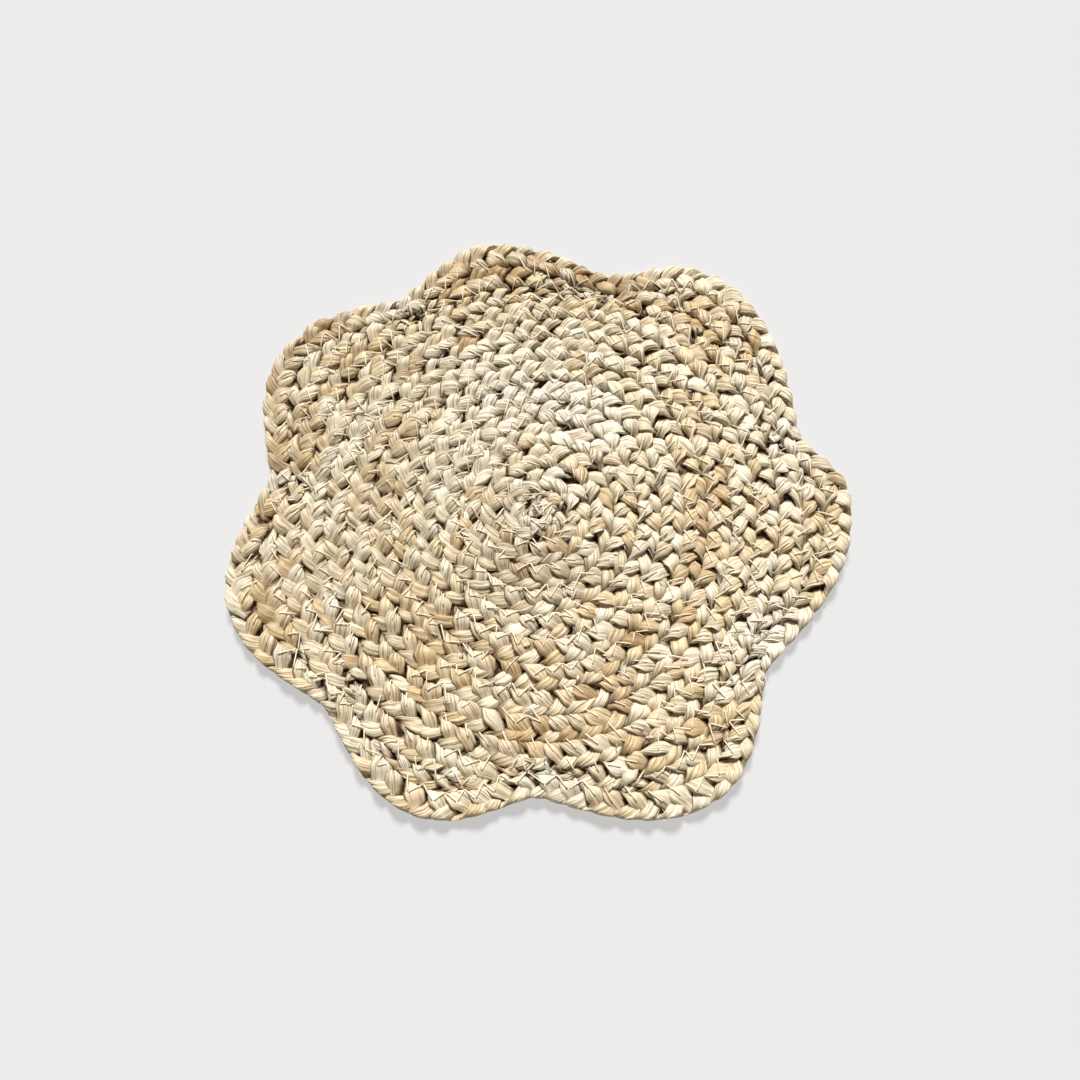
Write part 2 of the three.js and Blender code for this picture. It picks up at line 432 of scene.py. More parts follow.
# Lengthwise folds, with widths in sides of the section, and how the leaf bulges between them
FOLD = dict(least=0.05, depth=0.36, deepest=0.9, width=0.7, spacing=7.0)
BULGE = dict(height=0.18, width=1.2)

# A row is pressed wider low down. What goes past its sides is pressed against a limit outside
# them, or just inside the mat's own edge.
LOW = dict(height=5.0, spread=0.9, past_row=2.2)
PAST_ROW = 0.8
INSIDE_EDGE = 0.1
LOWEST = 0.05
HIGHEST = 9.2

# Painted shade: a surface is coloured dark in a pit, up to a level. Where it faces down, that is
# measured from the top.
PAINTED_SHADE_LEVEL = 3.4
PAINTED_SHADE_RANGE = 3.0
PAINTED_SHADE_FACING = 2.4
PAINTED_SIDE_SHADE_START = 0.84  # share of a strand's half-width beyond which its sides get painted shade
# How strong the painted shade on a strand's sides is, where strands overlap
PAINTED_SIDE_SHADE = 0.55
# The mat's own edge gets less of the painted shade, from a share of the row's width on
EDGE_LESS_PAINTED_SHADE = dict(amount=0.85, start=0.15, over=0.2)

# How much the colours differ from lump to lump, and slowly along a strand
TINT = 0.42
LUMP_COLOUR = dict(tint=0.1, pale=0.14, pale_in_zone=0.3, shade=0.07)
SLOW_TINT = dict(amount=0.05, spacing=90.0)


def staged(stages, phase):
    """A section size at a phase of the strand's path, from its stages in each half turn."""
    places = np.mod(phase, math.pi) / (math.pi / len(stages))
    return between(np.tile(stages, 2), places)


def turned_over(phase):
    """How far a strand is turned about its own line: half a turn at each edge of the plait."""
    quarter = math.pi / 2
    nearest = np.round((phase - quarter) / math.pi)
    offset = phase - quarter - nearest * math.pi
    half = smooth(0.5 + offset / (2 * FOLD_REACH))
    right_edge = np.mod(nearest, 2) == 0
    return np.where(right_edge, -math.pi * half, math.pi * (half - 1))


def folds(rng, phase, distance):
    """How far each point of a strand stands out, and how deep it is in a lengthwise fold, which also
    sets the painted shade there.
    """
    lines = []
    side = int(rng.integers(0, 3))
    while side < STRAND_SIDES:
        lines.append(side)
        side += int(rng.integers(2, 6))
    away = np.abs(np.arange(STRAND_SIDES)[:, None] - np.array(lines)[None, :])
    away = np.minimum(away, STRAND_SIDES - away)
    nearest = away.argmin(axis=1)
    away = away.min(axis=1)
    depth = [per_lump(rng, phase) + 0.5 * slowly(rng, distance, FOLD["spacing"]) for _ in lines]
    depth = FOLD["least"] + FOLD["depth"] * np.maximum(np.stack(depth, axis=-1) - 0.1, 0.0)
    depth = np.clip(depth, 0.0, FOLD["deepest"])
    fold = depth[:, nearest] * np.exp(-((away / FOLD["width"]) ** 2))[None, :]
    bulge = BULGE["height"] * (1 - np.exp(-away / BULGE["width"]))
    return bulge[None, :] - fold, fold


def held_in(distance, limit, softness=1.3):
    """Presses what would go beyond a limit against it, on both sides."""
    size = np.abs(distance)
    excess = np.maximum(size - (limit - softness), 0)
    held = limit - softness + softness * (1 - np.exp(-excess / softness))
    return np.where(excess > 0, np.sign(distance) * held, distance)


def lay_flat(rings, soft=0.6):
    """Presses what would go through the table, or stand too high, flat against a level."""
    z = rings[..., 2]
    pressed = LOWEST + soft * np.exp((z - LOWEST - soft) / soft)
    z = np.where(z < LOWEST + soft, pressed, z)
    pressed = HIGHEST - soft * np.exp((HIGHEST - soft - z) / soft)
    rings[..., 2] = np.where(z > HIGHEST - soft, pressed, z)


def lopsided(points):
    """How much larger a row's inner lumps are, at points in plan."""
    turn = np.radians(degrees_of(points) - LOPSIDED_TOWARDS)
    near = (1 + np.cos(turn)) / 2
    return LOPSIDED_LEAST + (1 - LOPSIDED_LEAST) * near**2


class Strand:
    """One strand's surface: rings of points, and what its material needs at each of them."""

    def __init__(self, route, number, seed, edge_free=False):
        self.route = route
        self.edge_free = edge_free
        self.rng = np.random.default_rng(seed)
        self.crumpling = crumpled(route.points)
        self.lopsided = lopsided(route.points)
        self.fullness = route.widths / PLAIT_PITCH
        self.row_width = np.clip(self.fullness, *ROW_WIDTHS)
        self.row_height = np.clip(self.fullness, *ROW_HEIGHTS)
        # A closed row's strands are even where they begin, so that they meet themselves there
        self.loosen = np.ones_like(route.distance)
        if route.closed:
            from_end = np.minimum(route.distance, route.length - route.distance)
            self.loosen = smooth(from_end / STRAND_PERIOD)
        self.phase = self.path_phase(number)
        half_width, half_height = self.half_sizes()
        middle = self.middle_line()
        self.rings, fold = self.surface(middle, half_width, half_height)
        beyond = self.press_into_row()
        self.fields = self.colour_fields(middle[:, :2])
        self.fields["gap"] = self.painted_shade_amount(middle, beyond)
        self.fields["fold"] = fold
        lay_flat(self.rings)
        self.travelled = distances_along(middle)
        leaf_width = LEAF_WIDTH * self.row_width
        self.leaf_width = float(leaf_width.max())
        self.leaf_area = float((leaf_width * np.gradient(self.travelled)).sum())

    def varied(self, name):
        """A number about nought for each lump."""
        return UNEVEN[name] * self.loosen * per_lump(self.rng, self.phase)

    def path_phase(self, number):
        """How far the strand's path has come, where one turn is to the other side and back."""
        route = self.route
        periods = np.gradient(route.distance) / (STRAND_PERIOD * (1 - TIGHTER * self.crumpling))
        turns = np.cumsum(periods) - periods[0]
        if route.closed:
            turns = turns / turns[-1] * round(turns[-1])
        wander = slowly(self.rng, route.distance, WANDER["spacing"])
        return TURN * (turns + number / STRANDS) + WANDER["amount"] * self.loosen * wander

    def half_sizes(self):
        inner = 1 - INNER_SIZE * self.lopsided * np.sin(self.phase)
        smaller = 1 - SMALLER * self.crumpling
        wider = np.clip(1 + self.varied("width"), *LUMP_SIZES) * inner * smaller
        higher = np.clip(1 + self.varied("height"), *LUMP_SIZES)
        half_width = staged(HALF_WIDTHS, self.phase) * wider * self.row_width
        return half_width, staged(HALF_HEIGHTS, self.phase) * higher * self.row_height

    def middle_line(self):
        """The line that the strand's sections are set on."""
        phase = self.phase
        swing = SWING * self.fullness * (1 + self.varied("swing"))
        across = swing * (np.sin(phase) + LINGER * np.sin(3 * phase))
        across = across + CROSSING * self.lopsided * self.fullness * np.cos(phase) ** 2
        if self.edge_free:
            across = across * FREE_SWING
        above = self.varied("level") - RISE * self.row_height * np.sin(2 * phase)
        tilt = math.radians(EDGE_TILT if self.edge_free else ROW_TILT)
        height = PLAIT_HEIGHT / 2 + above * math.cos(tilt) - across * math.sin(tilt)
        across = across * math.cos(tilt) + above * math.sin(tilt)
        return np.column_stack([self.route.points + self.route.outward * across[:, None], height])

    def surface(self, middle, half_width, half_height):
        """The rings of points round the middle line, and how deep a fold each is in."""
        wide, facing = across_and_up(middle, turned_over(self.phase) + self.varied("roll"))
        out, fold = folds(self.rng, self.phase, self.route.distance)
        rough = CRUMPLE * self.loosen * (1 + MORE_CRUMPLE * self.crumpling)
        out = out + rough[:, None] * bumps_over(self.rng, self.route.distance, STRAND_SIDES)
        out = np.minimum(1.0, half_height / FULL_RELIEF)[:, None] * out
        angle = angles_round(STRAND_SIDES)
        across = np.cos(angle)
        above = np.sign(np.sin(angle)) * np.abs(np.sin(angle)) ** FLAT_TOP
        across = half_width[:, None] * across + SIDE_RELIEF * out * across
        above = half_height[:, None] * above + out * np.sin(angle)
        rings = middle[:, None, :] + wide[:, None, :] * across[..., None]
        return rings + facing[:, None, :] * above[..., None], fold

    def press_into_row(self):
        """Keeps the strand to its row, and gives how far outside the row's middle it was."""
        route = self.route
        sideways = route.outward[:, None, :]
        beyond = ((self.rings[..., :2] - route.points[:, None, :]) * sideways).sum(-1)
        reach = route.widths[:, None] / 2
        free = (beyond > 0) & self.edge_free
        low = smooth((LOW["height"] - self.rings[..., 2]) / LOW["height"])
        spread = beyond * np.where(free, 1.0, 1 + LOW["spread"] * low)
        limit = np.where(free, reach - INSIDE_EDGE, reach + PAST_ROW + LOW["past_row"] * low)
        self.rings[..., :2] += (held_in(spread, limit) - beyond)[..., None] * sideways
        return beyond

    def painted_shade_amount(self, middle, beyond):
        """How much painted shade each point gets, for lying in a pit of the plait or on the strand's
        side.
        """
        height = self.rings[..., 2]
        faces_up = smooth(0.5 + (height - middle[:, None, 2]) / PAINTED_SHADE_FACING)
        from_above = 1 - smooth((height - PAINTED_SHADE_LEVEL) / PAINTED_SHADE_RANGE)
        from_below = 1 - smooth((PLAIT_HEIGHT - height - PAINTED_SHADE_LEVEL) / PAINTED_SHADE_RANGE)
        pit = from_above * faces_up + from_below * (1 - faces_up)
        across = np.abs(np.cos(angles_round(STRAND_SIDES)))
        at_side = smooth((across - PAINTED_SIDE_SHADE_START) / (1 - PAINTED_SIDE_SHADE_START))[None, :]
        dark = np.maximum(pit, PAINTED_SIDE_SHADE * at_side)
        if self.edge_free:
            out = beyond / self.route.widths[:, None]
            light = smooth((out - EDGE_LESS_PAINTED_SHADE["start"]) / EDGE_LESS_PAINTED_SHADE["over"])
            dark = dark * (1 - EDGE_LESS_PAINTED_SHADE["amount"] * light)
        return dark

    def colour_fields(self, places):
        """What sets the leaf's colour at places in plan along the strand."""
        tint, pale, shade = (zone_amount(name, places) for name in ("tint", "pale", "shade"))
        tint = TINT + tint + LUMP_COLOUR["tint"] * per_lump(self.rng, self.phase)
        tint = tint + SLOW_TINT["amount"] * slowly(self.rng, self.route.distance, SLOW_TINT["spacing"])
        unlike = LUMP_COLOUR["pale"] + LUMP_COLOUR["pale_in_zone"] * np.clip(pale, 0, 1)
        pale = pale + unlike * per_lump(self.rng, self.phase)
        shade = shade + LUMP_COLOUR["shade"] * per_lump(self.rng, self.phase)
        return {"tint": tint, "pale": pale, "shade": shade}

    def inner_lumps(self):
        """How far along its row each of the strand's lumps on the row's inner side is."""
        first = math.ceil((self.phase[0] - INNER_LUMP) / TURN)
        last = math.floor((self.phase[-1] - INNER_LUMP) / TURN)
        lumps = INNER_LUMP + TURN * np.arange(first, last + 1)
        return np.interp(lumps, self.phase, self.route.distance)


def plait(routes, seed, edge_free=False):
    """The strands of a piece's rows: three for each row, one row after the other."""
    return [
        Strand(route, number, seed + SEEDS["next_row"] * row + number, edge_free)
        for row, route in enumerate(routes)
        for number in range(STRANDS)
    ]


# ---- thread ----

THREAD_WIDTH = 0.86
THREAD_THICKNESS = 0.66
THREAD_SIZES = (0.8, 1.2)
THREAD_SIDES = 6
THREAD_LIFT = 0.6  # of its middle above the lumps, in thicknesses
STITCH_LENGTH = 9.0
STITCH_LENGTHS = (0.8, 1.35)
STITCH_ANGLE = 50.0  # degrees, between a stitch and its row
STITCH_START = 0.13  # share of the row's width, inside its middle, where a stitch begins
STITCH_BACK = 1.6  # how far behind the middle of its lump it begins
STITCH_UNEVEN = dict(start=0.6, back=0.8, angle=10.0)
STITCHES_SHOWN = 0.95  # share of the lumps that have one
RETURNS_SHOWN = 0.85  # share of the ways back to the next stitch that show
LONGEST_RETURN = 13.5
STITCH_RUN = 70.0  # of a row, over which the stitches lean the same way
LEANS_BACK = -0.4  # if its random number is below this
STITCH_SINK = 2.4  # how deep a stitch's ends go in
SINK_SHARE = 0.09  # of a stitch, over which each end goes in
STITCH_STEP = 0.95
DENT_DEPTH = 0.55
DENT_RADIUS = 0.8
DENT_CELL = 0.25
DENT_CELLS = 6
DENTED = dict(start=4.0, over=2.0)  # heights from which a strand is dented
HEIGHT_CELL = 0.9


class HeightMap:
    """The highest value in each small square of the mat's plan."""

    REACH = 215.0

    def __init__(self, cell):
        self.cell = cell
        size = int(2 * self.REACH / cell) + 1
        self.grid = np.zeros((size, size))

    def index(self, points):
        place = np.round((points + self.REACH) / self.cell).astype(int)
        place = np.clip(place, 0, len(self.grid) - 1)
        return place[..., 0], place[..., 1]

    def mark(self, points):
        self.grid[self.index(points)] = 1.0

    def raise_to(self, points, values):
        np.maximum.at(self.grid, self.index(points), values)

    def at(self, points):
        return self.grid[self.index(points)]

    def unmarked(self):
        return np.argwhere(self.grid == 0) * self.cell - self.REACH

    def spread(self):
        """Each square takes its neighbours' highest value, which closes the squares missed."""
        grown = self.grid.copy()
        for dx in (-1, 0, 1):
            for dy in (-1, 0, 1):
                grown = np.maximum(grown, np.roll(self.grid, (dx, dy), axis=(0, 1)))
        self.grid = grown


def stitches_on(route, strands, rng):
    """The two ends of each stitch of a row to what is inside it, one to an inner lump."""
    stops = np.sort(np.concatenate([strand.inner_lumps() for strand in strands]))
    count = len(stops)
    point, along, outward = route.at(stops)
    inwards = STITCH_START * np.interp(stops, route.distance, route.widths)
    inwards = inwards + rng.normal(0, STITCH_UNEVEN["start"], count)
    backwards = STITCH_BACK + rng.normal(0, STITCH_UNEVEN["back"], count)
    runs = rng.normal(size=int(route.length / STITCH_RUN) + 2)
    lean = np.where(runs[(stops / STITCH_RUN).astype(int)] > LEANS_BACK, 1.0, -1.0)
    begin = point - outward * inwards[:, None] - along * (lean * backwards)[:, None]
    turn = np.radians(STITCH_ANGLE + rng.normal(0, STITCH_UNEVEN["angle"], count))
    length = STITCH_LENGTH * rng.uniform(*STITCH_LENGTHS, count)
    way = along * (lean * np.cos(turn))[:, None] - outward * np.sin(turn)[:, None]
    finish = begin + way * length[:, None]
    shown = rng.random(count) < STITCHES_SHOWN
    back = rng.random(count - 1) < RETURNS_SHOWN
    pairs = list(zip(begin[shown], finish[shown]))
    for there, here in zip(finish[:-1][back], begin[1:][back]):
        if np.linalg.norm(here - there) < LONGEST_RETURN:
            pairs.append((there, here))
    return pairs


def stitch_line(start, end, step):
    """Points along a stitch, and the share of the way at which each is."""
    count = max(5, int(np.linalg.norm(end - start) / step))
    share = np.linspace(0, 1, count)
    return start + (end - start) * share[:, None], share


def dent_strands(strands, stitches):
    """The thread presses the lumps in where it crosses them."""
    dents = HeightMap(DENT_CELL)
    offsets = np.arange(-DENT_CELLS, DENT_CELLS + 1) * DENT_CELL
    offsets = np.stack(np.meshgrid(offsets, offsets), axis=-1).reshape(-1, 2)
    depths = np.exp(-((offsets**2).sum(-1)) / DENT_RADIUS**2)
    for start, end in stitches:
        line = stitch_line(start, end, DENT_CELL)[0]
        for offset, depth in zip(offsets, depths):
            dents.raise_to(line + offset, depth)
    for strand in strands:
        upper = smooth((strand.rings[..., 2] - DENTED["start"]) / DENTED["over"])
        strand.rings[..., 2] -= DENT_DEPTH * upper * dents.at(strand.rings[..., :2])


def heights_of(strands):
    heights = HeightMap(HEIGHT_CELL)
    for strand in strands:
        points = strand.rings.reshape(-1, 3)
        heights.raise_to(points[:, :2], points[:, 2])
    heights.spread()
    return heights


def taut(heights, passes=24):
    """The line of a tight thread over bumps: it spans what is lower than its two sides."""
    line = heights.copy()
    for _ in range(passes):
        line[1:-1] = np.maximum(heights[1:-1], (line[:-2] + line[2:]) / 2)
    return line


def thread_rings(line, share, heights, rng):
    """A thread over the lumps, with both ends going down between the strands."""
    edge = smooth(1 - share / SINK_SHARE) + smooth(1 - (1 - share) / SINK_SHARE)
    level = taut(heights) + THREAD_THICKNESS * THREAD_LIFT - STITCH_SINK * edge
    middle = np.column_stack([line, level])
    section = oval(*across_and_up(middle), THREAD_WIDTH, THREAD_THICKNESS, THREAD_SIDES)
    return above_table(middle[:, None, :] + rng.uniform(*THREAD_SIZES) * section)


# ---- loose leaf ----

# Where slivers of leaf stick out of the plait: how many, round which place and how far from it,
# and how high the plait has to be there
TUFTS = [
    dict(count=16, angle=0, radius=0, reach=15, length=7, pale=0.2, over=0.0),
    *at_notches(inwards=16, count=4, reach=12, length=8, pale=0.3, over=4.0),
    dict(count=110, angle=0, radius=0, reach=180, length=7, pale=0.05, over=4.0),
]
WISP_STATIONS = 7
WISP_SIDES = 6
WISP_WIDTHS = (1.8, 4.2)
WISP_LENGTHS = (0.6, 1.5)
WISP_THICKNESS = 0.56
WISP_BEND = 0.5  # radians from end to end
WISP_ARCH = (0.0, 0.5)
WISP_ENDS_SINK = 1.8
WISP_CLEAR = 0.3  # the most that it stands above the plait
WISP_LEAN = 0.3  # radians
WISP_TWIST = 0.4
WISP_BLUNT = 0.12  # of its length, cut off at each end
WISP_TINT = (0.3, 0.15)  # the usual one, and how much it varies
WISP_PALE_VARIES = 0.25
GRAIN = 500  # along the fibres, so that no two wisps are alike

# Slivers that lie low in the plait and close its gaps, coloured all over with the painted shade of its
# pits
SHADE_FILLING = dict(height=1.3, length=6.0, width=3.8, apart=2.1, from_edge=4.6, tint=0.4)
FILLING_LENGTHS = (0.8, 1.2)
FILLING_LEAN = 0.3  # share of a wisp's lean
COVER_CELL = 0.5
COVER_STEPS = 5
FAR_AWAY = (1000.0, 1000.0)


def covers_of(strands, slopes):
    """What the strands cover of the mat's plan, from above and along slanting views."""
    covers = [HeightMap(COVER_CELL) for _ in slopes]
    for strand in strands:
        for share in np.arange(0, 1, 1 / COVER_STEPS):
            rings = blended(strand.rings[:-1], strand.rings[1:], share)
            for next_share in (0, 0.5):
                points = blended(rings, np.roll(rings, 1, axis=1), next_share)
                for cover, slope in zip(covers, slopes):
                    places = points[..., :2] + points[..., 2:] * [0, slope]
                    cover.mark(places.reshape(-1, 2))
    return covers


def gaps_in(strands):
    """Places well inside the mat's edge that no strand covers, from above or along the view."""
    slopes = (0, 1 / math.tan(math.radians(CAMERA_ELEVATION)))
    degrees = degrees_of(EDGE_POINTS)
    order = np.argsort(degrees)
    edge = np.linalg.norm(EDGE_POINTS, axis=1)[order]
    kept = [FAR_AWAY]
    for cover, slope in zip(covers_of(strands, slopes), slopes):
        places = cover.unmarked()
        inside = np.interp(degrees_of(places), degrees[order], edge, period=360)
        places = places[np.linalg.norm(places, axis=1) < inside - SHADE_FILLING["from_edge"]]
        for place in places - [0, slope * SHADE_FILLING["height"]]:
            if np.linalg.norm(np.array(kept) - place, axis=1).min() > SHADE_FILLING["apart"]:
                kept.append(place)
    return kept[1:]


def wisp(place, heading, length, width, rng, heights=None):
    """The rings of a sliver over the plait, or low in it without heights, and places along it."""
    filling = heights is None
    share = np.linspace(0, 1, WISP_STATIONS)
    turn = heading + rng.normal(0, WISP_BEND) * (share - 0.5)
    offset = polar(1.0, np.degrees(turn)) * length / (WISP_STATIONS - 1)
    line = place + np.cumsum(offset, axis=0) - offset.sum(axis=0) / 2
    under = np.full(len(line), SHADE_FILLING["height"]) if filling else heights.at(line)
    arch = rng.uniform(*WISP_ARCH) * np.sin(math.pi * share)
    if not filling:
        arch = arch - WISP_ENDS_SINK * np.abs(2 * share - 1) ** 3
    level = np.minimum((under + under.mean()) / 2 + arch, under + WISP_CLEAR)
    middle = np.column_stack([line, level])
    lean = rng.normal(0, WISP_LEAN) + rng.normal(0, WISP_TWIST) * share
    lean = lean * (FILLING_LEAN if filling else 1.0)
    taper = np.sin(math.pi * (WISP_BLUNT + (1 - 2 * WISP_BLUNT) * share))
    section = oval(*across_and_up(middle, -lean), width, WISP_THICKNESS, WISP_SIDES)
    rings = above_table(middle[:, None, :] + section * taper[:, None, None])
    return rings, np.linspace(0, length, WISP_STATIONS) + rng.uniform(0, GRAIN)


def add_shade_filling(wisps, place, rng):
    length = SHADE_FILLING["length"] * rng.uniform(*FILLING_LENGTHS)
    sliver = wisp(place, rng.uniform(0, TURN), length, SHADE_FILLING["width"], rng)
    # Painted shade: the whole sliver takes the dark colour of the plait's pits
    wisps.add(*sliver, tint=SHADE_FILLING["tint"], gap=1.0)


def add_wisp(wisps, place, length, pale, heights, rng):
    heading = rng.uniform(0, TURN)
    length = length * rng.uniform(*WISP_LENGTHS)
    sliver = wisp(place, heading, length, rng.uniform(*WISP_WIDTHS), rng, heights)
    tint = rng.normal(*WISP_TINT)
    wisps.add(*sliver, tint=tint, pale=rng.normal(pale, WISP_PALE_VARIES))


def add_tuft(wisps, tuft, heights, rng):
    """Wisps at random about a place, where the plait is high enough."""
    for _ in range(tuft["count"]):
        away = polar(tuft["reach"] * math.sqrt(rng.random()), rng.uniform(0, 360))
        place = polar(tuft["radius"], tuft["angle"]) + away
        if heights.at(place) >= tuft["over"]:
            add_wisp(wisps, place, tuft["length"], tuft["pale"], heights, rng)


# ---- objects ----

FIELDS = ["tint", "pale", "shade", "gap", "fold"]


def new_object(name, data):
    made = bpy.data.objects.new(name, data)
    bpy.context.scene.collection.objects.link(made)
    return made


class Tubes:
    def __init__(self):
        self.points = []
        self.quads = []
        self.caps = []
        self.uvs = []
        self.fields = {name: [] for name in FIELDS}
        self.first = 0

    def add(self, rings, travelled=None, closed=False, **fields):
        """A tube, with how far along each ring is, and fields for it, its rings or its points."""
        used = rings[:-1] if closed else rings
        count, sides = used.shape[:2]
        grid = self.first + np.arange(count * sides).reshape(count, sides)
        here = grid if closed else grid[:-1]
        ahead = np.roll(grid, -1, axis=0) if closed else grid[1:]
        corners = [here, ahead, np.roll(ahead, -1, axis=1), np.roll(here, -1, axis=1)]
        self.quads.append(np.stack(corners, axis=-1).reshape(-1, 4))
        if not closed:
            self.caps += [grid[0], grid[-1][::-1]]
        if travelled is None:
            travelled = np.arange(len(rings), dtype=float)
        begin = np.repeat(travelled[:-1, None], sides, axis=1)
        end = np.repeat(travelled[1:, None], sides, axis=1)
        around = np.broadcast_to(np.arange(sides) / sides, begin.shape)
        u = np.stack([begin, end, end, begin], axis=-1) * MM
        v = np.stack([around, around, around + 1 / sides, around + 1 / sides], axis=-1)
        self.uvs.append(np.stack([u, v], axis=-1).reshape(-1, 2))
        self.points.append(used.reshape(-1, 3))
        for name in FIELDS:
            value = np.asarray(fields.get(name, 0.0), float)
            if value.ndim:
                value = value[:count].reshape(count, -1)
            self.fields[name].append(np.broadcast_to(value, (count, sides)).reshape(-1))
        self.first += count * sides

    def object(self, name):
        points = np.concatenate(self.points)
        points[:, :2] -= MIDDLE
        points *= MM
        quads = np.concatenate(self.quads)
        mesh = bpy.data.meshes.new(name)
        mesh.vertices.add(len(points))
        mesh.vertices.foreach_set("co", points.reshape(-1))
        corners = np.concatenate([quads.reshape(-1), *self.caps]).astype(np.int32)
        mesh.loops.add(len(corners))
        mesh.loops.foreach_set("vertex_index", corners)
        sizes = np.array([4] * len(quads) + [len(cap) for cap in self.caps], np.int32)
        mesh.polygons.add(len(sizes))
        mesh.polygons.foreach_set("loop_start", np.concatenate([[0], np.cumsum(sizes)[:-1]]))
        mesh.update(calc_edges=True)
        uvs = np.zeros((len(corners), 2))
        uvs[: quads.size] = np.concatenate(self.uvs)
        mesh.uv_layers.new(name="strand").data.foreach_set("uv", uvs.reshape(-1))
        for key, values in self.fields.items():
            attribute = mesh.attributes.new(key, "FLOAT", "POINT")
            attribute.data.foreach_set("value", np.concatenate(values))
        mesh.shade_smooth()
        mesh.validate()
        return new_object(name, mesh)


def thread_object(stitches, heights, rng):
    thread = Tubes()
    for start, end in stitches:
        line, share = stitch_line(start, end, STITCH_STEP)
        thread.add(thread_rings(line, share, heights.at(line), rng))
    return thread.object("stitching")


def loose_leaf_object(strands, heights, rng):
    wisps = Tubes()
    for place in gaps_in(strands):
        add_shade_filling(wisps, place, rng)
    for tuft in TUFTS:
        add_tuft(wisps, tuft, heights, rng)
    return wisps.object("loose_leaf")


# ---- materials ----

# The leaf's colour as its tint goes from 0 to 1
STRAW = [
    (0.0, (0.925, 0.884, 0.768)),
    (0.35, (0.86, 0.779, 0.605)),
    (0.6, (0.74, 0.59, 0.365)),
    (0.85, (0.52, 0.35, 0.175)),
]
PALE_LEAF = (0.90, 0.87, 0.79)
# What the leaf's colour is multiplied by
# A dull brown, partly the leaf's own colour and partly painted shade below the centre
DULL_LEAF_AND_PAINTED_SHADE = (0.52, 0.46, 0.40)
FIBRE_LINE = (0.62, 0.48, 0.30)
# Painted shade in the plait's pits and on the strands' sides
PAINTED_PIT_SHADE = (0.12, 0.062, 0.022)
# Painted shade in the lengthwise folds
PAINTED_FOLD_SHADE = (0.45, 0.31, 0.18)

THREAD_COLOURS = [
    (0.3, (0.78, 0.67, 0.49)),
    (0.5, (0.91, 0.84, 0.68)),
    (0.7, (0.95, 0.91, 0.80)),
]
FLOOR_COLOUR = (0.274, 0.279, 0.289)
FLOOR_GLOW = 0.5  # its own light keeps the mat's shadow as pale as in the photo
WHITE = (1.0, 1.0, 1.0)
BUMP_STRENGTH = 0.8


class Nodes:
    """Short calls that add nodes to a material and join them."""

    def __init__(self, name):
        self.material = bpy.data.materials.new(name)
        self.material.use_nodes = True
        self.tree = self.material.node_tree

    def give(self, node, inputs):
        """Gives a node's inputs numbers, colours or the outputs of other nodes."""
        for name, value in inputs.items():
            socket = node.inputs[name]
            if isinstance(value, bpy.types.NodeSocket):
                self.tree.links.new(value, socket)
            else:
                socket.default_value = (*value, 1.0) if socket.type == "RGBA" else value

    def add(self, kind, inputs, **settings):
        node = self.tree.nodes.new(kind)
        for key, value in settings.items():
            setattr(node, key, value)
        self.give(node, inputs)
        return node

    def math(self, operation, *values, clamp=False):
        inputs = dict(enumerate(values))
        return self.add("ShaderNodeMath", inputs, operation=operation, use_clamp=clamp).outputs[0]

    def times(self, first, second, clamp=False):
        return self.math("MULTIPLY", first, second, clamp=clamp)

    def attribute(self, name):
        return self.add("ShaderNodeAttribute", {}, attribute_name=name).outputs["Fac"]

    def uv(self):
        return self.add("ShaderNodeUVMap", {}, uv_map="strand").outputs[0]

    def mix(self, factor, first, second, blend="MIX"):
        inputs = {0: factor, 6: first, 7: second}
        return self.add("ShaderNodeMix", inputs, data_type="RGBA", blend_type=blend).outputs[2]

    def tinted(self, colour, factor):
        return self.mix(1.0, colour, factor, "MULTIPLY")

    def ramp(self, factor, stops):
        node = self.add("ShaderNodeValToRGB", {0: factor})
        elements = node.color_ramp.elements
        while len(elements) < len(stops):
            elements.new(0.5)
        for element, (position, colour) in zip(elements, stops):
            element.position = position
            element.color = (*colour, 1.0)
        return node.outputs[0]

    def noise(self, vector, detail, roughness):
        inputs = {"Vector": vector, "Scale": 1.0, "Detail": detail, "Roughness": roughness}
        return self.add("ShaderNodeTexNoise", inputs).outputs["Fac"]

    def bump(self, height, distance, **normal):
        inputs = {"Height": height, "Distance": distance, "Strength": BUMP_STRENGTH, **normal}
        return self.add("ShaderNodeBump", inputs).outputs[0]

    def finish(self, inputs):
        self.give(self.tree.nodes["Principled BSDF"], inputs)
        return self.material


